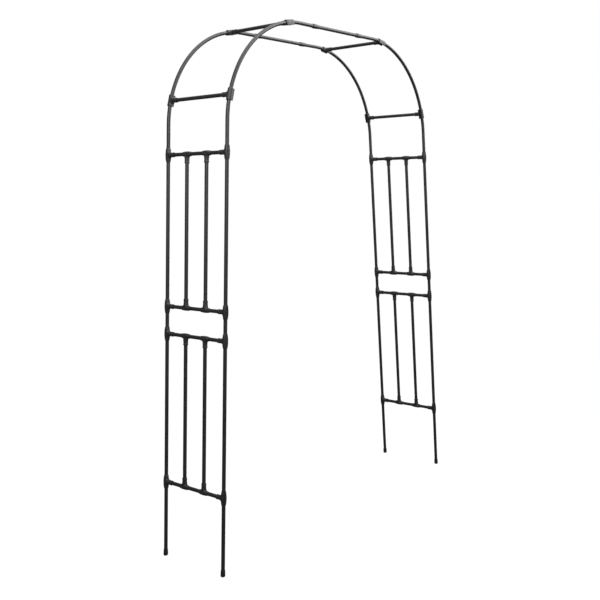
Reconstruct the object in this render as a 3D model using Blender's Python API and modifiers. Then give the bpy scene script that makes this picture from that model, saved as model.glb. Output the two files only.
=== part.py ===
"""Garden trellis arch: two tube arches on splayed legs, joined by ladder panels and clip-on connectors.

Metres, +Z up. X runs across the walk-through, Y through it. The origin is on the ground, midway
between the four feet. The front arch is the one at -Y.
"""

import math

import bmesh
import bpy
from mathutils import Matrix, Vector

# Driving dimensions
TUBE_RADIUS = 0.00825  # coated 16 mm steel tube
GAP = 0.0003  # between pieces that touch
ARCH_DEPTH = 0.360  # front to rear, tube centre to tube centre
CROWN_HEIGHT = 2.368  # centre line of the straight top tube
BEND_RADIUS = 0.4845
BEND_CENTRE_X = 0.283
LEG_SPLAY = math.radians(3.3)
PANEL_HEIGHT = 0.664  # rail to rail, along the leg
LOWER_PANEL_START = 0.335  # along the leg from the ground
UPPER_PANEL_START = 1.121
SPRING_BAR_HEIGHT = 2.019
CROWN_BAR_X = 0.361
SLEEVE_MOUTHS_X = (-0.193, 0.146)  # where each arch tube slips into the next

# Connectors
SOCKET_FLOOR = TUBE_RADIUS + 0.0035  # from the gripped tube's axis to the end of a socketed tube
SOCKET_RADIUS = 0.0103
SOCKET_ROOT_RADIUS = 0.0110
SOCKET_ROOT = 0.016  # from the gripped tube's axis
SOCKET_LENGTH = 0.040  # likewise
LIP_RADIUS = 0.0110
LIP_LENGTH = 0.008
TEE_LENGTH = 0.062
TEE_RADII = (0.0128, 0.0122, 0.0097)  # at the middle, at half way out and at the ends
TEE_HALF_WAY = 0.5
INNER_TEE_LENGTH = 0.050
INNER_TEE_RADII = (0.0118, 0.0112, 0.0097)
TEE_MOUTH = (0.0060, 0.0083)  # half width between the jaws, at the tube and at the tips
CLIP_LENGTH = 0.051
CLIP_RADIUS = 0.0122
CLIP_ARC = math.radians(105)  # of round section, each way from the outside of the bend
CLIP_JAW_REACH = 0.0126
CLIP_JAW_SIDE = 0.0119
CLIP_MOUTH = (0.0062, 0.0092)

# Tube ends and feet
SLEEVE_RADIUS = 0.0105
SLEEVE_LENGTH = 0.020
SLEEVE_TAPER = 0.034
SLEEVE_DEPTH = 0.031
SPIGOT_RADIUS = 0.0062
SPIGOT_LENGTH = 0.030
FOOT_HEIGHT = 0.028
FOOT_RADIUS = 0.0102
FOOT_TOP_RADIUS = 0.0095
FOOT_FLOOR = 0.0045
FOOT_EDGE = 0.0022

# Mesh detail
TUBE_SIDES = 12
CONNECTOR_SIDES = 12
CLIP_ARC_STEPS = 14
BEND_STEPS = 18
MERGE = 0.00001
SMOOTH_ANGLE = math.radians(40)

SIDES = {"left": -1, "right": 1}
ARCHES = {"front": -1, "rear": 1}
RAIL_LEVELS = {
    "1": LOWER_PANEL_START,
    "2": LOWER_PANEL_START + PANEL_HEIGHT,
    "3": UPPER_PANEL_START,
    "4": UPPER_PANEL_START + PANEL_HEIGHT,
}
LEG_JOINT = RAIL_LEVELS["4"]  # a leg and its bend meet inside the topmost tee
UPRIGHT_OFFSETS = {"front": -ARCH_DEPTH / 6, "rear": ARCH_DEPTH / 6}
BAR_LENGTH = ARCH_DEPTH - 2 * (SOCKET_FLOOR + GAP)
UPRIGHT_LENGTH = PANEL_HEIGHT - 2 * (SOCKET_FLOOR + GAP)

BEND_CENTRE_Z = CROWN_HEIGHT - BEND_RADIUS
TANGENT_X = BEND_CENTRE_X + BEND_RADIUS * math.cos(LEG_SPLAY)
TANGENT_Z = BEND_CENTRE_Z + BEND_RADIUS * math.sin(LEG_SPLAY)
FOOT_X = TANGENT_X + TANGENT_Z * math.tan(LEG_SPLAY)


def clear_scene():
    for obj in list(bpy.data.objects):
        bpy.data.objects.remove(obj)


def new_collection(name):
    collection = bpy.data.collections.new(name)
    bpy.context.scene.collection.children.link(collection)
    return collection


def new_material(name, colour, roughness, metallic):
    material = bpy.data.materials.new(name)
    material.use_nodes = True
    shader = material.node_tree.nodes["Principled BSDF"]
    shader.inputs["Base Color"].default_value = (*colour, 1.0)
    shader.inputs["Roughness"].default_value = roughness
    shader.inputs["Metallic"].default_value = metallic
    return material


def hole_radius(sides):
    """Corner radius of a polygonal hole whose flats clear a tube by the gap."""
    return (TUBE_RADIUS + GAP) / math.cos(math.pi / sides)


def helper(name, data):
    """An object used only to shape others."""
    obj = bpy.data.objects.new(name, data)
    obj.hide_render = True
    obj.display_type = "WIRE"
    helpers.objects.link(obj)
    return obj


def turned(name, profile, sides, turn=Matrix()):
    """The profile of (radius, height) points, outer side listed top to bottom, swept round Z."""
    mesh = bpy.data.meshes.new(name)
    edges = [(i, i + 1) for i in range(len(profile) - 1)]
    mesh.from_pydata([(radius, 0, height) for radius, height in profile], edges, [])
    obj = helper(name, mesh)
    screw = obj.modifiers.new("turn", "SCREW")
    screw.steps = screw.render_steps = sides
    screw.use_merge_vertices = True
    screw.merge_threshold = MERGE
    obj.matrix_world = turn
    return obj


def rod(name, radius, low, high, sides, turn=Matrix()):
    return turned(name, [(0, high), (radius, high), (radius, low), (0, low)], sides, turn)


def drill(name, low, high, turn=Matrix()):
    """Cutter for a hole that a tube slips into, its corners facing the middles of the outer facets."""
    half_facet = Matrix.Rotation(math.pi / CONNECTOR_SIDES, 4, "Z")
    return rod(name, hole_radius(CONNECTOR_SIDES), low, high, CONNECTOR_SIDES, turn @ half_facet)


def box(name, low, high):
    mesh = bpy.data.meshes.new(name)
    shape = bmesh.new()
    bmesh.ops.create_cube(shape, size=1)
    size = Vector(high) - Vector(low)
    bmesh.ops.scale(shape, vec=size, verts=shape.verts)
    bmesh.ops.translate(shape, vec=(Vector(high) + Vector(low)) / 2, verts=shape.verts)
    shape.to_mesh(mesh)
    shape.free()
    return helper(name, mesh)


def outline_block(name, outline, half_length):
    """The closed XY outline, extruded half_length each way along Z."""
    curve = bpy.data.curves.new(name, "CURVE")
    curve.dimensions = "2D"
    curve.fill_mode = "BOTH"
    curve.extrude = half_length
    spline = curve.splines.new("POLY")
    spline.points.add(len(outline) - 1)
    for point, (x, y) in zip(spline.points, outline):
        point.co = (x, y, 0, 1)
    spline.use_cyclic_u = True
    return as_mesh_object(helper(name, curve))


def tube(name, path, radii=None):
    """A tube along the path's points, with an optional radius at each."""
    curve = bpy.data.curves.new(name, "CURVE")
    curve.dimensions = "3D"
    curve.bevel_depth = TUBE_RADIUS
    curve.bevel_resolution = TUBE_SIDES // 2 - 2
    curve.use_fill_caps = True
    spline = curve.splines.new("POLY")
    spline.points.add(len(path) - 1)
    for point, place, radius in zip(spline.points, path, radii or [TUBE_RADIUS] * len(path)):
        point.co = (*place, 1)
        point.radius = radius / TUBE_RADIUS
    return as_mesh_object(helper(name, curve))


def as_mesh_object(obj):
    """The same shape as a helper with a welded mesh, in place of the curve."""
    name = obj.name
    return helper(name, finished_mesh(obj))


def finished_mesh(obj):
    """The object's mesh in the world, modifiers applied and caps welded. The object is removed."""
    bpy.context.view_layer.update()
    graph = bpy.context.evaluated_depsgraph_get()
    mesh = bpy.data.meshes.new_from_object(obj.evaluated_get(graph))
    shape = bmesh.new()
    shape.from_mesh(mesh)
    bmesh.ops.remove_doubles(shape, verts=shape.verts, dist=MERGE)
    bmesh.ops.recalc_face_normals(shape, faces=shape.faces)
    bmesh.ops.transform(shape, matrix=obj.matrix_world, verts=shape.verts)
    shape.to_mesh(mesh)
    shape.free()
    mesh.name = obj.name
    bpy.data.objects.remove(obj)
    return mesh


def combine(obj, others, operation):
    for other in others:
        step = obj.modifiers.new(other.name, "BOOLEAN")
        step.operation = operation
        step.object = other


def part(name, mesh, material, parent=None, place=Matrix()):
    """A finished piece of the arch."""
    obj = bpy.data.objects.new(name, mesh)
    if not mesh.materials:
        mesh.materials.append(material)
        mesh.shade_smooth()
        mesh.set_sharp_from_angle(angle=SMOOTH_ANGLE)
    parts.objects.link(obj)
    obj.parent = parent
    obj.matrix_local = place
    return obj


def arch_point(angle, side, y):
    """A point on a bend's centre line, at an angle up from level with the bend's centre."""
    x = BEND_CENTRE_X + BEND_RADIUS * math.cos(angle)
    return Vector((side * x, y, BEND_CENTRE_Z + BEND_RADIUS * math.sin(angle)))


def leg_point(distance, side, y):
    """A point on a leg's centre line, at a distance up it from the ground."""
    x = FOOT_X - distance * math.sin(LEG_SPLAY)
    return Vector((side * x, y, distance * math.cos(LEG_SPLAY)))


def leg_frame(name, side):
    """An empty on the ground whose +Z runs up the legs of one side."""
    empty = bpy.data.objects.new(name, None)
    parts.objects.link(empty)
    empty.location = (side * FOOT_X, 0, 0)
    empty.rotation_euler = (0, -side * LEG_SPLAY, 0)
    return empty


def across(x=0.0, y=0.0, z=0.0):
    """A place whose +Z points along Y, for tubes that join the front arch to the rear."""
    return Matrix.Translation((x, y, z)) @ Matrix.Rotation(-math.pi / 2, 4, "X")


def socket_profile():
    """Outer shape of a connector's branch, from its mouth back to the gripped tube's axis."""
    lip_back = SOCKET_LENGTH - LIP_LENGTH
    return [
        (0, SOCKET_LENGTH),
        (LIP_RADIUS, SOCKET_LENGTH),
        (LIP_RADIUS, lip_back),
        (SOCKET_RADIUS, lip_back - LIP_RADIUS + SOCKET_RADIUS),
        (SOCKET_ROOT_RADIUS, SOCKET_ROOT),
        (SOCKET_ROOT_RADIUS, 0),
        (0, 0),
    ]


def spindle_profile(length, radii):
    """A bead, fattest at the middle."""
    middle, half_way, end = radii
    half = length / 2
    return [
        (0, half),
        (end, half),
        (half_way, half * TEE_HALF_WAY),
        (middle, 0),
        (half_way, -half * TEE_HALF_WAY),
        (end, -half),
        (0, -half),
    ]


def jaw_slot(name, mouth, reach, length):
    """Cutter for the mouth between two jaws, on the -Y side, widening to their tips as a lead-in."""
    half, wide = mouth
    flare = reach - wide + half
    outline = [(-half, 0), (half, 0), (half, -flare), (wide, -reach), (wide, -2 * reach)]
    outline += [(-wide, -2 * reach), (-wide, -reach), (-half, -flare)]
    return outline_block(name, outline, length)


def socket_hole(turn):
    """Cutter for the tube that a branch holds."""
    return drill("socket_hole", SOCKET_FLOOR, 2 * SOCKET_LENGTH, turn)


def post_tee_mesh():
    """Clip-on tee: a split bead round the post along Z, open at -Y, with a socket along +Y."""
    body = turned("post_tee", spindle_profile(TEE_LENGTH, TEE_RADII), CONNECTOR_SIDES)
    branch = turned("branch", socket_profile(), CONNECTOR_SIDES, across())
    bore = drill("bore", -TEE_LENGTH, TEE_LENGTH)
    combine(body, [branch], "UNION")
    mouth = jaw_slot("mouth", TEE_MOUTH, TEE_RADII[0], TEE_LENGTH)
    combine(body, [bore, mouth, socket_hole(across())], "DIFFERENCE")
    return finished_mesh(body)


def clip_mesh():
    """Clip for a bent tube along Z: square-ended, with a C section and a socket along +Y.

    The bend's centre lies at -X, and the jaws open towards it.
    """
    arc = [CLIP_ARC * (2 * i / CLIP_ARC_STEPS - 1) for i in range(CLIP_ARC_STEPS + 1)]
    outline = [(CLIP_RADIUS * math.cos(a), CLIP_RADIUS * math.sin(a)) for a in arc]
    outline += [(-CLIP_JAW_REACH, CLIP_JAW_SIDE), (-CLIP_JAW_REACH, -CLIP_JAW_SIDE)]
    body = outline_block("clip", outline, CLIP_LENGTH / 2)
    branch = turned("branch", socket_profile(), CONNECTOR_SIDES, across())
    reach = CLIP_LENGTH / BEND_RADIUS
    angles = [reach * (i / 2 - 1) for i in range(5)]
    centre_line = [Vector((math.cos(a) - 1, 0, math.sin(a))) * BEND_RADIUS for a in angles]
    bore = tube("bore", centre_line, [hole_radius(TUBE_SIDES)] * len(centre_line))
    mouth = jaw_slot("mouth", CLIP_MOUTH, CLIP_JAW_REACH, CLIP_LENGTH)
    mouth.rotation_euler.z = -math.pi / 2
    combine(body, [branch], "UNION")
    combine(body, [bore, mouth, socket_hole(across())], "DIFFERENCE")
    return finished_mesh(body)


def rail_mesh():
    """Panel rail along Y with two tees on it, whose branches point up along +Z."""
    body = rod("rail", TUBE_RADIUS, -BAR_LENGTH / 2, BAR_LENGTH / 2, TUBE_SIDES, across())
    profile = spindle_profile(INNER_TEE_LENGTH, INNER_TEE_RADII)
    for name, y in UPRIGHT_OFFSETS.items():
        place = Matrix.Translation((0, y, 0))
        run = turned(f"run_{name}", profile, CONNECTOR_SIDES, across(y=y))
        branch = turned(f"branch_{name}", socket_profile(), CONNECTOR_SIDES, place)
        combine(body, [run, branch], "UNION")
        combine(body, [socket_hole(place)], "DIFFERENCE")
    return finished_mesh(body)


def post_mesh():
    """Leg tube along Z from inside its foot to the joint with its bend, with a bore for the spigot."""
    top, bore = LEG_JOINT - GAP / 2, SPIGOT_RADIUS + GAP
    floor = top - SPIGOT_LENGTH - GAP
    bottom = FOOT_FLOOR + GAP
    profile = [(0, floor), (bore, floor), (bore, top), (TUBE_RADIUS, top)]
    profile += [(TUBE_RADIUS, bottom), (0, bottom)]
    return finished_mesh(turned("post", profile, TUBE_SIDES))


def foot_mesh():
    """Cap pushed over a leg's end, reaching below the ground so that it can be cut level."""
    bore = hole_radius(CONNECTOR_SIDES)
    under = -FOOT_RADIUS * math.sin(LEG_SPLAY) * 2
    profile = [
        (0, FOOT_FLOOR),
        (bore, FOOT_FLOOR),
        (bore, FOOT_HEIGHT),
        (FOOT_TOP_RADIUS, FOOT_HEIGHT),
        (FOOT_RADIUS, FOOT_HEIGHT / 2),
        (FOOT_RADIUS, FOOT_EDGE),
        (FOOT_RADIUS - FOOT_EDGE, 0),
        (FOOT_RADIUS - FOOT_EDGE, under),
        (0, under),
    ]
    return finished_mesh(turned("foot", profile, CONNECTOR_SIDES))


def bend_path(side, y, end_x):
    """Points and radii of one bent tube, from its spigot in the leg to end_x on the level top."""
    joint = LEG_JOINT + GAP / 2
    steps = [LEG_SPLAY + (math.pi / 2 - LEG_SPLAY) * i / BEND_STEPS for i in range(BEND_STEPS + 1)]
    path = [leg_point(joint - SPIGOT_LENGTH, side, y)]
    path += [leg_point(joint - MERGE * 2, side, y), leg_point(joint, side, y)]
    radii = [SPIGOT_RADIUS, SPIGOT_RADIUS]
    path += [arch_point(angle, side, y) for angle in steps]
    path.append(Vector((end_x, y, CROWN_HEIGHT)))
    radii += [TUBE_RADIUS] * (len(path) - len(radii))
    return path, radii


def sleeve_path(mouth_x, y):
    """Points and radii of a swaged sleeve that opens towards -X."""
    wide_end = mouth_x + SLEEVE_LENGTH
    places = [mouth_x, wide_end, wide_end + SLEEVE_TAPER]
    return [Vector((x, y, CROWN_HEIGHT)) for x in places], [SLEEVE_RADIUS, SLEEVE_RADIUS, TUBE_RADIUS]


def sleeve_bore(mouth_x, y):
    turn = Matrix.Translation((mouth_x, y, CROWN_HEIGHT)) @ Matrix.Rotation(math.pi / 2, 4, "Y")
    return drill("sleeve_bore", -SLEEVE_LENGTH, SLEEVE_DEPTH, turn)


def add_arch(arch, y):
    """The level top tube and the two bends of one arch, slipped into each other."""
    left_mouth, right_mouth = SLEEVE_MOUTHS_X
    inserted = SLEEVE_DEPTH - GAP

    path, radii = bend_path(SIDES["left"], y, left_mouth + inserted)
    part(f"bend_left_{arch}", finished_mesh(tube("bend", path, radii)), steel)

    path, radii = bend_path(SIDES["right"], y, right_mouth)
    mouth, mouth_radii = sleeve_path(right_mouth, y)
    body = tube("bend", path[:-1] + mouth[::-1], radii[:-1] + mouth_radii[::-1])
    combine(body, [sleeve_bore(right_mouth, y)], "DIFFERENCE")
    part(f"bend_right_{arch}", finished_mesh(body), steel)

    mouth, mouth_radii = sleeve_path(left_mouth, y)
    far_end = Vector((right_mouth + inserted, y, CROWN_HEIGHT))
    body = tube("top_tube", mouth + [far_end], mouth_radii + [TUBE_RADIUS])
    combine(body, [sleeve_bore(left_mouth, y)], "DIFFERENCE")
    part(f"top_tube_{arch}", finished_mesh(body), steel)


def add_side(side_name, side):
    """Legs, feet, tees and ladder panels of one side, in a frame that leans with the legs."""
    frame = leg_frame(f"{side_name}_side", side)
    for arch, sign in ARCHES.items():
        place = Matrix.Translation((0, sign * ARCH_DEPTH / 2, 0))
        inward = Matrix.Rotation(0 if sign < 0 else math.pi, 4, "Z")
        part(f"post_{side_name}_{arch}", meshes["post"], steel, frame, place)
        foot = part(f"foot_{side_name}_{arch}", meshes["foot"], plastic, frame, place)
        combine(foot, [ground], "DIFFERENCE")
        for level, distance in RAIL_LEVELS.items():
            rise = Matrix.Translation((0, 0, distance))
            name = f"post_tee_{side_name}_{arch}_{level}"
            part(name, meshes["post_tee"], plastic, frame, place @ rise @ inward)

    for level, distance in RAIL_LEVELS.items():
        tees_point_up = level in ("1", "3")
        flip = Matrix.Rotation(0 if tees_point_up else math.pi, 4, "Y")
        rise = Matrix.Translation((0, 0, distance))
        part(f"rail_{side_name}_{level}", meshes["rail"], steel, frame, rise @ flip)

    for panel, start in (("lower", LOWER_PANEL_START), ("upper", UPPER_PANEL_START)):
        for offset, y in UPRIGHT_OFFSETS.items():
            place = Matrix.Translation((0, y, start + PANEL_HEIGHT / 2))
            part(f"upright_{side_name}_{panel}_{offset}", meshes["upright"], steel, frame, place)


def add_crossbars(name, angle):
    """A crossbar at one place on both bends, held by a clip at each end."""
    for side_name, side in SIDES.items():
        middle = arch_point(angle, side, 0)
        outward = Vector((side * math.cos(angle), 0, math.sin(angle)))
        part(f"{name}_bar_{side_name}", meshes["bar"], steel, place=across(*middle))
        for arch, sign in ARCHES.items():
            inward = Vector((0, -sign, 0))
            turn = Matrix((outward, inward, outward.cross(inward))).transposed().to_4x4()
            spot = Matrix.Translation(middle + Vector((0, sign * ARCH_DEPTH / 2, 0)))
            part(f"{name}_clip_{side_name}_{arch}", meshes["clip"], plastic, place=spot @ turn)


clear_scene()
parts = new_collection("metal_trellis_arch")
helpers = new_collection("cutters")
steel = new_material("coated_steel", (0.022, 0.022, 0.024), 0.42, 0.0)
plastic = new_material("moulded_plastic", (0.018, 0.018, 0.019), 0.5, 0.0)

meshes = {
    "post": post_mesh(),
    "foot": foot_mesh(),
    "post_tee": post_tee_mesh(),
    "clip": clip_mesh(),
    "rail": rail_mesh(),
    "bar": finished_mesh(rod("bar", TUBE_RADIUS, -BAR_LENGTH / 2, BAR_LENGTH / 2, TUBE_SIDES)),
    "upright": finished_mesh(
        rod("upright", TUBE_RADIUS, -UPRIGHT_LENGTH / 2, UPRIGHT_LENGTH / 2, TUBE_SIDES)
    ),
}
ground = box("ground", (-1, -1, -0.1), (1, 1, 0))

for arch_name, arch_side in ARCHES.items():
    add_arch(arch_name, arch_side * ARCH_DEPTH / 2)
for name_of_side, sign_of_side in SIDES.items():
    add_side(name_of_side, sign_of_side)
add_crossbars("spring", math.asin((SPRING_BAR_HEIGHT - BEND_CENTRE_Z) / BEND_RADIUS))
add_crossbars("crown", math.acos((CROWN_BAR_X - BEND_CENTRE_X) / BEND_RADIUS))
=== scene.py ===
"""Looks of the garden trellis arch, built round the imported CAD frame. Metres, +Z up.

X runs across the walk-through and Y through it. The front arch is the one at -Y.
"""

import math

import bmesh
import bpy
from mathutils import Matrix, Vector


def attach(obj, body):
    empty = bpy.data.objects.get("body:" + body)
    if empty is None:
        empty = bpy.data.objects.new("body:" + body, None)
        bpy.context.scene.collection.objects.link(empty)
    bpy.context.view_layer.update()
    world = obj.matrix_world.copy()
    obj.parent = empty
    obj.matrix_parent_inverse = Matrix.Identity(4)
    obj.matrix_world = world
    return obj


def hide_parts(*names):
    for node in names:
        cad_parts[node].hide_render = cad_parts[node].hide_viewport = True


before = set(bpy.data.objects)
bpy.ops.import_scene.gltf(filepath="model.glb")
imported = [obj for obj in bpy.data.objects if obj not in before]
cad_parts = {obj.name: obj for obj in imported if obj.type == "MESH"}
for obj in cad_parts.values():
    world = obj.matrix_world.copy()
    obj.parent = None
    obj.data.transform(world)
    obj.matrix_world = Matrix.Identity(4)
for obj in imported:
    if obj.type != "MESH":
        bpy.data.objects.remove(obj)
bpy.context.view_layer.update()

# ---------------------------------------------------------------- the object's dimensions
TUBE_RADIUS = 0.00825
ARCH_DEPTH = 0.360
CROWN_HEIGHT = 2.368
BEND_RADIUS = 0.4845
BEND_CENTRE_X = 0.283
LEG_SPLAY = math.radians(3.3)
PANEL_HEIGHT = 0.664
LOWER_PANEL_START = 0.335
UPPER_PANEL_START = 1.121
SPRING_BAR_HEIGHT = 2.019
CROWN_BAR_X = 0.361
SLEEVE_MOUTHS_X = (-0.193, 0.146)

BORE_RADIUS = 0.0086
SOCKET_FLOOR = 0.01175
END_GAP = 0.0003
SLEEVE_RADIUS = 0.0105
SLEEVE_LENGTH = 0.020
SLEEVE_TAPER = 0.034
SLEEVE_DEPTH = 0.031
LEG_START = 0.0048  # up the leg from the ground

SIDES = {"left": -1, "right": 1}
ARCHES = {"front": -1, "rear": 1}
RAIL_LEVELS = {
    "1": LOWER_PANEL_START,
    "2": LOWER_PANEL_START + PANEL_HEIGHT,
    "3": UPPER_PANEL_START,
    "4": UPPER_PANEL_START + PANEL_HEIGHT,
}
LEG_JOINT = RAIL_LEVELS["4"]
UPRIGHT_OFFSETS = {"front": -ARCH_DEPTH / 6, "rear": ARCH_DEPTH / 6}
BAR_HALF = ARCH_DEPTH / 2 - SOCKET_FLOOR - END_GAP
UPRIGHT_HALF = PANEL_HEIGHT / 2 - SOCKET_FLOOR - END_GAP
BEND_CENTRE_Z = CROWN_HEIGHT - BEND_RADIUS
TANGENT_X = BEND_CENTRE_X + BEND_RADIUS * math.cos(LEG_SPLAY)
TANGENT_Z = BEND_CENTRE_Z + BEND_RADIUS * math.sin(LEG_SPLAY)
FOOT_X = TANGENT_X + TANGENT_Z * math.tan(LEG_SPLAY)

TUBE_SIDES = 40
BEND_STEPS = 72
TAPER_STEPS = 6
SMOOTH_ANGLE = math.radians(38)
MM = 0.001


# ---------------------------------------------------------------- camera, light and floor
CAMERA_PLACE = Vector((-3.2703, -2.6500, 1.6375))
CAMERA_FORWARD = Vector((0.7855, 0.6117, -0.0936))
CAMERA_RIGHT = Vector((0.6128, -0.7900, -0.0196))
CAMERA_LENS_MM = 50.34
CAMERA_SHIFT = (-0.05, -0.06)
FLOOR_REACH = 60.0


def add_camera():
    data = bpy.data.cameras.new("camera")
    data.sensor_width = 36.0
    data.lens = CAMERA_LENS_MM
    data.shift_x, data.shift_y = CAMERA_SHIFT
    camera = bpy.data.objects.new("camera", data)
    bpy.context.scene.collection.objects.link(camera)
    back = -CAMERA_FORWARD.normalized()
    up = back.cross(CAMERA_RIGHT).normalized()
    right = up.cross(back)
    turn = Matrix((right, up, back)).transposed().to_4x4()
    camera.matrix_world = Matrix.Translation(CAMERA_PLACE) @ turn
    bpy.context.scene.camera = camera


def add_floor():
    """A plain white studio floor that throws no light back on the object."""
    mesh = bpy.data.meshes.new("floor")
    signs = ((-1, -1), (1, -1), (1, 1), (-1, 1))
    corners = [(x * FLOOR_REACH, y * FLOOR_REACH, 0) for x, y in signs]
    mesh.from_pydata(corners, [], [(0, 1, 2, 3)])
    floor = bpy.data.objects.new("floor", mesh)
    bpy.context.scene.collection.objects.link(floor)
    material = bpy.data.materials.new("floor")
    material.use_nodes = True
    shader = material.node_tree.nodes["Principled BSDF"]
    shader.inputs["Base Color"].default_value = (0.01, 0.01, 0.01, 1)
    shader.inputs["Roughness"].default_value = 0.9
    shader.inputs["Emission Color"].default_value = (1, 1, 1, 1)
    shader.inputs["Emission Strength"].default_value = 0.99
    mesh.materials.append(material)
    floor.visible_diffuse = False
    floor.visible_glossy = False


def add_area_light(name, place, target, size, power):
    data = bpy.data.lights.new(name, "AREA")
    data.shape = "RECTANGLE"
    data.size, data.size_y = size
    data.energy = power
    light = bpy.data.objects.new(name, data)
    bpy.context.scene.collection.objects.link(light)
    light.location = place
    light.rotation_euler = (Vector(target) - Vector(place)).to_track_quat("-Z", "Y").to_euler()


def add_world(seen, cast):
    """White where it is seen, and dimmer as a light."""
    world = bpy.data.worlds.new("studio")
    bpy.context.scene.world = world
    world.use_nodes = True
    nodes, links = world.node_tree.nodes, world.node_tree.links
    background = nodes["Background"]
    background.inputs["Color"].default_value = (1, 1, 1, 1)
    path = nodes.new("ShaderNodeLightPath")
    level = nodes.new("ShaderNodeMapRange")
    level.inputs["To Min"].default_value = cast
    level.inputs["To Max"].default_value = seen
    links.new(path.outputs["Is Camera Ray"], level.inputs["Value"])
    links.new(level.outputs["Result"], background.inputs["Strength"])


# ---------------------------------------------------------------- materials
FLECK_BRIGHTNESS = 2.2


def add_noise(tree, place, scale, detail, roughness=0.5):
    noise = tree.nodes.new("ShaderNodeTexNoise")
    noise.inputs["Scale"].default_value = scale
    noise.inputs["Detail"].default_value = detail
    noise.inputs["Roughness"].default_value = roughness
    tree.links.new(place, noise.inputs["Vector"])
    return noise.outputs["Fac"]


def remap(tree, value, low, high, new_low, new_high):
    range_node = tree.nodes.new("ShaderNodeMapRange")
    for name, number in (
        ("From Min", low), ("From Max", high), ("To Min", new_low), ("To Max", new_high)
    ):
        range_node.inputs[name].default_value = number
    tree.links.new(value, range_node.inputs["Value"])
    return range_node.outputs["Result"]


def mix_colours(tree, factor, first, second):
    mix = tree.nodes.new("ShaderNodeMix")
    mix.data_type = "RGBA"
    tree.links.new(factor, mix.inputs["Factor"])
    # Inputs 6 and 7 of a Mix node are its colours A and B, and output 2 is the mixed colour.
    for socket, colour in ((mix.inputs[6], first), (mix.inputs[7], second)):
        if isinstance(colour, tuple):
            socket.default_value = (*colour, 1)
        else:
            tree.links.new(colour, socket)
    return mix.outputs[2]


def add_bump(tree, height, distance, strength, below=None):
    bump = tree.nodes.new("ShaderNodeBump")
    bump.inputs["Strength"].default_value = strength
    bump.inputs["Distance"].default_value = distance
    tree.links.new(height, bump.inputs["Height"])
    if below is not None:
        tree.links.new(below, bump.inputs["Normal"])
    return bump.outputs["Normal"]


def coating_material(name, dark, light, roughness, peel, grain):
    """Satin finish: slow colour drift, fine flecks, an orange-peel swell and a fine grain.

    peel and grain are each (noise scale, bump height).
    """
    material = bpy.data.materials.new(name)
    material.use_nodes = True
    tree = material.node_tree
    shader = tree.nodes["Principled BSDF"]
    place = tree.nodes.new("ShaderNodeNewGeometry").outputs["Position"]

    drift = remap(tree, add_noise(tree, place, scale=9, detail=3), 0.32, 0.68, 0, 1)
    tone = mix_colours(tree, drift, dark, light)
    speckle = add_noise(tree, place, scale=900, detail=2, roughness=0.6)
    flecks = remap(tree, speckle, 0.66, 0.74, 0, 0.5)
    fleck_colour = tuple(c * FLECK_BRIGHTNESS for c in light)
    tree.links.new(mix_colours(tree, flecks, tone, fleck_colour), shader.inputs["Base Color"])

    sheen = add_noise(tree, place, scale=140, detail=4, roughness=0.6)
    varied = remap(tree, sheen, 0.3, 0.7, roughness - 0.05, roughness + 0.06)
    tree.links.new(varied, shader.inputs["Roughness"])

    swell_scale, swell_height = peel
    grain_scale, grain_height = grain
    swell_noise = add_noise(tree, place, swell_scale, detail=2)
    swell = add_bump(tree, swell_noise, swell_height, strength=0.5)
    grain_noise = add_noise(tree, place, grain_scale, detail=3)
    fine = add_bump(tree, grain_noise, grain_height, strength=0.4, below=swell)
    tree.links.new(fine, shader.inputs["Normal"])
    return material


# ---------------------------------------------------------------- mesh building
def circle(centre, axis_a, axis_b, radius, count):
    return [
        centre + (axis_a * math.cos(t) + axis_b * math.sin(t)) * radius
        for t in (2 * math.pi * i / count for i in range(count))
    ]


def lathe(stations, side, count=TUBE_SIDES):
    """Closed skin through rings, one for each station, which is (centre, direction, radius).

    side is a direction that lies across every station's own.
    """
    verts, faces = [], []
    for centre, direction, radius in stations:
        out = direction.cross(side).normalized()
        verts += circle(centre, out, side, radius, count)
    for k in range(len(stations) - 1):
        a, b = k * count, (k + 1) * count
        for i in range(count):
            j = (i + 1) % count
            faces.append((a + i, a + j, b + j, b + i))
    faces.append(tuple(range(count))[::-1])
    last = (len(stations) - 1) * count
    faces.append(tuple(last + i for i in range(count)))
    return verts, faces


def finished_mesh(name, verts, faces, material, levels=0):
    """The mesh, facing out and shaded smooth, after levels rounds of subdivision."""
    mesh = bpy.data.meshes.new(name)
    shape = bmesh.new()
    points = [shape.verts.new(v) for v in verts]
    for face in faces:
        shape.faces.new([points[i] for i in face])
    bmesh.ops.recalc_face_normals(shape, faces=shape.faces)
    shape.to_mesh(mesh)
    shape.free()
    if levels:
        rough = bpy.data.objects.new(name, mesh)
        bpy.context.scene.collection.objects.link(rough)
        smoothing = rough.modifiers.new("smoothing", "SUBSURF")
        smoothing.levels = smoothing.render_levels = levels
        graph = bpy.context.evaluated_depsgraph_get()
        graph.update()
        mesh = bpy.data.meshes.new_from_object(rough.evaluated_get(graph))
        bpy.data.objects.remove(rough)
    mesh.materials.clear()
    mesh.materials.append(material)
    mesh.shade_smooth()
    mesh.set_sharp_from_angle(angle=SMOOTH_ANGLE)
    return mesh


def add_piece(name, mesh, nodes=(), place=Matrix()):
    piece = bpy.data.objects.new(name, mesh)
    bpy.context.scene.collection.objects.link(piece)
    piece.matrix_world = place
    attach(piece, "root")
    if nodes:
        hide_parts(*nodes)
    return piece


# ---------------------------------------------------------------- tubes
# (inset along, inset of radius). The last ring keeps the long face beyond it straight in shading.
END_ROUNDING = [(0.0, 0.0010), (0.0003, 0.0005), (0.0010, 0.0), (0.0025, 0.0)]


def rounded_end(point, direction, radius, outward):
    """Stations that close a tube with a small radius. outward is +1 at the tube's far end."""
    stations = [
        (point - direction * outward * along, direction, radius - inset)
        for along, inset in END_ROUNDING
    ]
    return stations[::-1] if outward > 0 else stations


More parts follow.
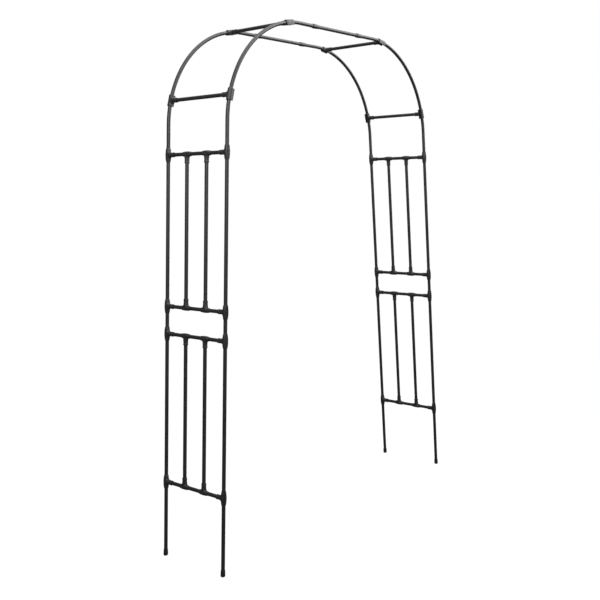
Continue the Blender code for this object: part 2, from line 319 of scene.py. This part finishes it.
def straight_tube(low, high, radius=TUBE_RADIUS):
    direction = (high - low).normalized()
    return rounded_end(low, direction, radius, -1) + rounded_end(high, direction, radius, 1)


def arch_point(angle, side, y):
    x = BEND_CENTRE_X + BEND_RADIUS * math.cos(angle)
    return Vector((side * x, y, BEND_CENTRE_Z + BEND_RADIUS * math.sin(angle)))


def leg_point(distance, side, y):
    x = FOOT_X - distance * math.sin(LEG_SPLAY)
    return Vector((side * x, y, distance * math.cos(LEG_SPLAY)))


def leg_direction(side):
    return Vector((-side * math.sin(LEG_SPLAY), 0, math.cos(LEG_SPLAY)))


def sleeve_stations(mouth, direction):
    """A swaged sleeve from the floor of its bore, out round its rolled mouth and back to the tube."""
    profile = [  # (distance from the mouth, radius)
        (SLEEVE_DEPTH, BORE_RADIUS),
        (0.0030, BORE_RADIUS),
        (0.0014, BORE_RADIUS + 0.0004),
        (0.0004, BORE_RADIUS + 0.0009),
        (0.0, BORE_RADIUS + 0.0013),
        (0.0002, SLEEVE_RADIUS - 0.0002),
        (0.0008, SLEEVE_RADIUS),
        (0.0025, SLEEVE_RADIUS),
        (SLEEVE_LENGTH - 0.001, SLEEVE_RADIUS),
        (SLEEVE_LENGTH, SLEEVE_RADIUS),
    ]
    drop = SLEEVE_RADIUS - TUBE_RADIUS
    for i in range(1, TAPER_STEPS + 1):
        t = i / TAPER_STEPS
        along = SLEEVE_LENGTH + SLEEVE_TAPER * t
        profile.append((along, SLEEVE_RADIUS - drop * t * t * (3 - 2 * t)))
    profile.append((SLEEVE_LENGTH + SLEEVE_TAPER + 0.002, TUBE_RADIUS))
    return [(mouth + direction * along, direction, radius) for along, radius in profile]


def bend_stations(side, y):
    """One bent tube from its leg to the start of the level top, without its top end."""
    up = leg_direction(side)
    start = leg_point(LEG_JOINT + END_GAP / 2, side, y)
    stations = rounded_end(start, up, TUBE_RADIUS, -1)
    for i in range(BEND_STEPS + 1):
        angle = LEG_SPLAY + (math.pi / 2 - LEG_SPLAY) * i / BEND_STEPS
        direction = Vector((-side * math.sin(angle), 0, math.cos(angle)))
        stations.append((arch_point(angle, side, y), direction, TUBE_RADIUS))
    return stations


def add_arch(arch, y):
    left_mouth, right_mouth = SLEEVE_MOUTHS_X
    inserted = SLEEVE_DEPTH - END_GAP
    across, along = Vector((0, 1, 0)), Vector((1, 0, 0))

    stations = bend_stations(-1, y)
    stations += rounded_end(Vector((left_mouth + inserted, y, CROWN_HEIGHT)), along, TUBE_RADIUS, 1)
    add_tube(f"bend_left_{arch}", stations, across)

    stations = bend_stations(1, y)
    mouth = sleeve_stations(Vector((right_mouth, y, CROWN_HEIGHT)), along)
    stations += [(centre, -direction, radius) for centre, direction, radius in mouth[::-1]]
    add_tube(f"bend_right_{arch}", stations, across)

    stations = sleeve_stations(Vector((left_mouth, y, CROWN_HEIGHT)), along)
    stations += rounded_end(Vector((right_mouth + inserted, y, CROWN_HEIGHT)), along, TUBE_RADIUS, 1)
    add_tube(f"top_tube_{arch}", stations, across)


def add_tube(name, stations, side):
    verts, faces = lathe(stations, side)
    return add_piece(name, finished_mesh(name, verts, faces, steel), [name])


# ---------------------------------------------------------------- connectors
RING = 20  # points round a branch, one for each edge of the patch it grows from
PATCH_COLUMNS, PATCH_ROWS = 6, 4
POST_TEE_COLUMNS = 17
POST_TEE_JAW = math.radians(143)  # from the branch round to each jaw's tip
JAW_TIP_EASE = 0.965  # share of the jaw's angle that its outer skin reaches
CLIP_END_SHRINK = 0.97
END_EASE = 0.0004
MOULDED_GAP = 0.00012
BRANCH = [  # (distance from the gripped tube's axis, radius)
    (0.0150, 0.0115), (0.0182, 0.0110), (0.0250, 0.0106), (0.0314, 0.0103), (0.0319, 0.0104),
    (0.0323, 0.0108), (0.0329, 0.0110), (0.0386, 0.0110), (0.0395, 0.01085), (0.0400, 0.0103),
    (0.0400, 0.0094), (0.0396, 0.0089), (0.0390, 0.00868), (0.0250, 0.00868), (0.0126, 0.00868),
    (0.0120, 0.0082),
]


def patch_edge(first_column, first_row, rows):
    """Grid indices round the patch, anticlockwise as seen from outside."""
    last_column, last_row = first_column + PATCH_COLUMNS, first_row + PATCH_ROWS
    edge = [(c, first_row) for c in range(first_column, last_column)]
    edge += [(last_column, r) for r in range(first_row, last_row)]
    edge += [(c, last_row) for c in range(last_column, first_column, -1)]
    edge += [(first_column, r) for r in range(last_row, first_row, -1)]
    return [c * rows + r for c, r in edge]


def connector(name, outer, inner, first_column, closed, material):
    """A sleeve along Z with a branch along +Y, which grows from the columns after first_column.

    outer and inner are lists of columns, each a list of points up the sleeve. A closed sleeve goes
    all round, and an open one is a C whose first and last columns are its jaws' tips.
    """
    columns, rows = len(outer), len(outer[0])
    bands = columns if closed else columns - 1
    verts = [p for column in outer for p in column] + [p for column in inner for p in column]
    inside = columns * rows
    first_row = (rows - 1 - PATCH_ROWS) // 2
    faces = []
    for c in range(bands):
        d = (c + 1) % columns
        for r in range(rows - 1):
            a, b, e, f = c * rows + r, d * rows + r, d * rows + r + 1, c * rows + r + 1
            faces.append((inside + f, inside + e, inside + b, inside + a))
            in_patch = first_column <= c < first_column + PATCH_COLUMNS
            if not (in_patch and first_row <= r < first_row + PATCH_ROWS):
                faces.append((a, b, e, f))
        for r in (0, rows - 1):
            a, b = c * rows + r, d * rows + r
            faces.append((a, inside + a, inside + b, b))
    if not closed:
        for c in (0, columns - 1):
            for r in range(rows - 1):
                a, b = c * rows + r, c * rows + r + 1
                faces.append((a, b, inside + b, inside + a))

    ring = patch_edge(first_column, first_row, rows)
    start = math.pi + math.pi * PATCH_ROWS / RING
    for distance, radius in BRANCH:
        base = len(verts)
        for i in range(RING):
            t = start + 2 * math.pi * i / RING
            verts.append(Vector((radius * math.cos(t), distance, radius * math.sin(t))))
        made = list(range(base, base + RING))
        for i in range(RING):
            j = (i + 1) % RING
            faces.append((ring[i], ring[j], made[j], made[i]))
        ring = made
    faces += fan_quads(ring)
    return finished_mesh(name, verts, faces, material, 1)


def fan_quads(ring):
    """Covers an even ring with strips of quads."""
    strips = len(ring) // 2 - 1
    return [(ring[i], ring[i + 1], ring[-i - 2], ring[-i - 1]) for i in range(strips)]


def mirrored(heights):
    """Heights from the low end to the middle, continued to the high end."""
    return heights + [-z for z in heights[-2::-1]]


def on_sleeve(radius, angle, z):
    return Vector((radius * math.sin(angle), radius * math.cos(angle), z))


def bead_radii(heights, end_radius, swell, power):
    """Radii of a bead that is fullest at its middle, its two ends eased in."""
    half = heights[-1]
    radii = [end_radius + swell * (1 - abs(z / half) ** power) for z in heights]
    radii[0] -= END_EASE
    radii[-1] -= END_EASE
    return radii


def post_tee_mesh():
    """Clip-on tee: a split, eye-shaped bead round a leg."""
    heights = mirrored([-0.0310, -0.0301, -0.0262, -0.0188, -0.0108, -0.0054, 0.0])
    radii = bead_radii(heights, end_radius=0.0097, swell=0.0031, power=2.2)
    last = POST_TEE_COLUMNS - 1
    outer, inner = [], []
    for i in range(POST_TEE_COLUMNS):
        angle = -POST_TEE_JAW + 2 * POST_TEE_JAW * i / last
        eased = angle * (JAW_TIP_EASE if i in (0, last) else 1)
        outer.append([on_sleeve(radius, eased, z) for radius, z in zip(radii, heights)])
        inner.append([on_sleeve(BORE_RADIUS, angle, z) for z in heights])
    first_column = (last - PATCH_COLUMNS) // 2
    return connector("post_tee", outer, inner, first_column, closed=False, material=plastic)


def inner_tee_mesh():
    """Tee moulded round a rail."""
    heights = mirrored([-0.0250, -0.0242, -0.0215, -0.0160, -0.0098, -0.0049, 0.0])
    radii = bead_radii(heights, end_radius=0.0096, swell=0.0023, power=2.6)
    outer, inner = [], []
    for i in range(RING):
        angle = 2 * math.pi * (i - PATCH_COLUMNS / 2) / RING
        outer.append([on_sleeve(radius, angle, z) for radius, z in zip(radii, heights)])
        inner.append([on_sleeve(TUBE_RADIUS + MOULDED_GAP, angle, z) for z in heights])
    return connector("inner_tee", outer, inner, 0, closed=True, material=plastic)


def polar(radius, degrees):
    return (radius * math.cos(math.radians(degrees)), radius * math.sin(math.radians(degrees)))


# Section of a clip in mm, from the tip of the jaw beside the branch round to the other tip.
CLIP_OUTSIDE = [
    (-12.6, 9.7), (-12.5, 11.4), (-11.6, 11.85), (-9.6, 11.9), (-6.4, 11.9), (-3.2, 11.95),
    (0.1, 12.1), (3.3, 11.75), (6.5, 10.3), (9.2, 8.0), polar(12.2, 22), polar(12.2, 0),
    polar(12.2, -22), polar(12.2, -45), polar(12.2, -68), polar(12.2, -90), (-3.4, -11.95),
    (-7.0, -11.9), (-10.4, -11.9), (-11.8, -11.85), (-12.5, -11.4), (-12.6, -9.7),
]
CLIP_INSIDE = [
    (-12.4, 9.2), (-11.3, 8.1), (-9.7, 6.5), (-7.7, 6.2), (-5.93, 6.2), polar(8.6, 112),
    polar(8.6, 94), polar(8.6, 75), polar(8.6, 57), polar(8.6, 40), polar(8.6, 22), polar(8.6, 0),
    polar(8.6, -22), polar(8.6, -45), polar(8.6, -68), polar(8.6, -90), polar(8.6, -112),
    (-5.93, -6.2), (-7.7, -6.2), (-9.7, -6.5), (-11.3, -8.1), (-12.4, -9.2),
]
CLIP_PATCH = 3  # the branch grows from the columns after this one


def clip_mesh():
    """Square-ended C clip round a bent tube. Its jaws open towards the bend's centre, at -X."""
    half = 0.0255
    heights = mirrored([-half, -0.0250, -0.0238, -0.0178, -0.0108, -0.0054, 0.0])
    outer, inner = [], []
    for (x, y), (u, v) in zip(CLIP_OUTSIDE, CLIP_INSIDE):
        outer.append([])
        inner.append([])
        for z in heights:
            scale = MM * (CLIP_END_SHRINK if abs(z) == half else 1)
            lag = BEND_RADIUS - math.sqrt(BEND_RADIUS**2 - z * z)
            outer[-1].append(Vector((x * scale, y * scale, z)))
            inner[-1].append(Vector((u * MM - lag, v * MM, z)))
    return connector("clip", outer, inner, CLIP_PATCH, closed=False, material=plastic)


def add_foot(name, side, y):
    """Cap pushed over a leg's end, its underside level with the ground."""
    profile = [  # (height up the leg, radius)
        (0.0120, BORE_RADIUS), (0.0272, BORE_RADIUS), (0.0277, 0.0088), (0.0280, 0.0091),
        (0.0277, 0.0094), (0.0270, 0.0095), (0.0200, 0.0098), (0.0140, 0.0101), (0.0100, 0.0102),
        (0.0040, 0.0102), (0.0028, 0.0101), (0.0018, 0.0098), (0.0010, 0.0092), (0.0004, 0.0084),
        (-0.0007, 0.0078),
    ]
    up = leg_direction(side)
    stations = [(leg_point(along, side, y), up, radius) for along, radius in profile]
    verts, faces = lathe(stations, Vector((0, 1, 0)))
    verts = [Vector((v.x, v.y, max(v.z, 0.0))) for v in verts]
    add_piece(name, finished_mesh(name, verts, faces, foot_plastic), [name])


def add_side(side_name, side):
    across, up = Vector((0, 1, 0)), leg_direction(side)
    out = Vector((1, 0, 0))
    lean = Matrix.Translation((side * FOOT_X, 0, 0)) @ Matrix.Rotation(-side * LEG_SPLAY, 4, "Y")
    for arch, sign in ARCHES.items():
        y = sign * ARCH_DEPTH / 2
        bottom = leg_point(LEG_START, side, y)
        top = leg_point(LEG_JOINT - END_GAP / 2, side, y)
        add_tube(f"post_{side_name}_{arch}", straight_tube(bottom, top), across)
        add_foot(f"foot_{side_name}_{arch}", side, y)
        inward = Matrix.Rotation(0 if sign < 0 else math.pi, 4, "Z")
        for level, distance in RAIL_LEVELS.items():
            name = f"post_tee_{side_name}_{arch}_{level}"
            place = lean @ Matrix.Translation((0, y, distance)) @ inward
            add_piece(name, meshes["post_tee"], [name], place)

    for level, distance in RAIL_LEVELS.items():
        name = f"rail_{side_name}_{level}"
        middle = leg_point(distance, side, 0)
        reach = across * BAR_HALF
        add_tube(name, straight_tube(middle - reach, middle + reach), out)
        upwards = level in ("1", "3")
        for tee, y in UPRIGHT_OFFSETS.items():
            place = lean @ Matrix.Translation((0, y, distance))
            place = place @ Matrix.Rotation(math.pi / 2 if upwards else -math.pi / 2, 4, "X")
            add_piece(f"{name}_tee_{tee}", meshes["inner_tee"], (), place)

    for panel, start in (("lower", LOWER_PANEL_START), ("upper", UPPER_PANEL_START)):
        for offset, y in UPRIGHT_OFFSETS.items():
            middle = leg_point(start + PANEL_HEIGHT / 2, side, y)
            upright = straight_tube(middle - up * UPRIGHT_HALF, middle + up * UPRIGHT_HALF)
            add_tube(f"upright_{side_name}_{panel}_{offset}", upright, across)


def add_crossbars(name, angle):
    across = Vector((0, 1, 0))
    for side_name, side in SIDES.items():
        middle = arch_point(angle, side, 0)
        outward = Vector((side * math.cos(angle), 0, math.sin(angle)))
        reach = across * BAR_HALF
        add_tube(f"{name}_bar_{side_name}", straight_tube(middle - reach, middle + reach), outward)
        for arch, sign in ARCHES.items():
            inward = Vector((0, -sign, 0))
            turn = Matrix((outward, inward, outward.cross(inward))).transposed().to_4x4()
            spot = Matrix.Translation(middle + across * (sign * ARCH_DEPTH / 2))
            node = f"{name}_clip_{side_name}_{arch}"
            add_piece(node, meshes["clip"], [node], spot @ turn)


add_camera()
add_floor()
add_world(seen=1.0, cast=0.15)
add_area_light("key", (-2.3, -1.3, 2.7), target=(-0.4, 0, 1.8), size=(1.8, 1.8), power=58)
add_area_light("front", (1.4, -2.3, 3.1), target=(0.3, 0, 1.9), size=(2.0, 2.0), power=55)
add_area_light("overhead", (-0.2, -0.2, 4.4), target=(0, 0, 2.0), size=(3.4, 3.4), power=100)
add_area_light("rim", (3.0, -1.6, 4.2), target=(0.2, -0.1, 2.2), size=(3.6, 3.6), power=165)

steel = coating_material(
    "coated_steel",
    dark=(0.013, 0.013, 0.014),
    light=(0.018, 0.018, 0.019),
    roughness=0.44,
    peel=(420, 0.00004),
    grain=(2600, 0.000006),
)
plastic = coating_material(
    "connector_plastic",
    dark=(0.016, 0.016, 0.017),
    light=(0.020, 0.020, 0.021),
    roughness=0.49,
    peel=(900, 0.00003),
    grain=(3600, 0.000006),
)
foot_plastic = coating_material(
    "foot_plastic",
    dark=(0.010, 0.010, 0.010),
    light=(0.013, 0.013, 0.013),
    roughness=0.45,
    peel=(700, 0.00003),
    grain=(3000, 0.000006),
)
meshes = {"post_tee": post_tee_mesh(), "inner_tee": inner_tee_mesh(), "clip": clip_mesh()}

for arch_name, arch_sign in ARCHES.items():
    add_arch(arch_name, arch_sign * ARCH_DEPTH / 2)
for name_of_side, sign_of_side in SIDES.items():
    add_side(name_of_side, sign_of_side)
add_crossbars("spring", math.asin((SPRING_BAR_HEIGHT - BEND_CENTRE_Z) / BEND_RADIUS))
add_crossbars("crown", math.acos((CROWN_BAR_X - BEND_CENTRE_X) / BEND_RADIUS))

bpy.context.scene.view_settings.view_transform = "Standard"
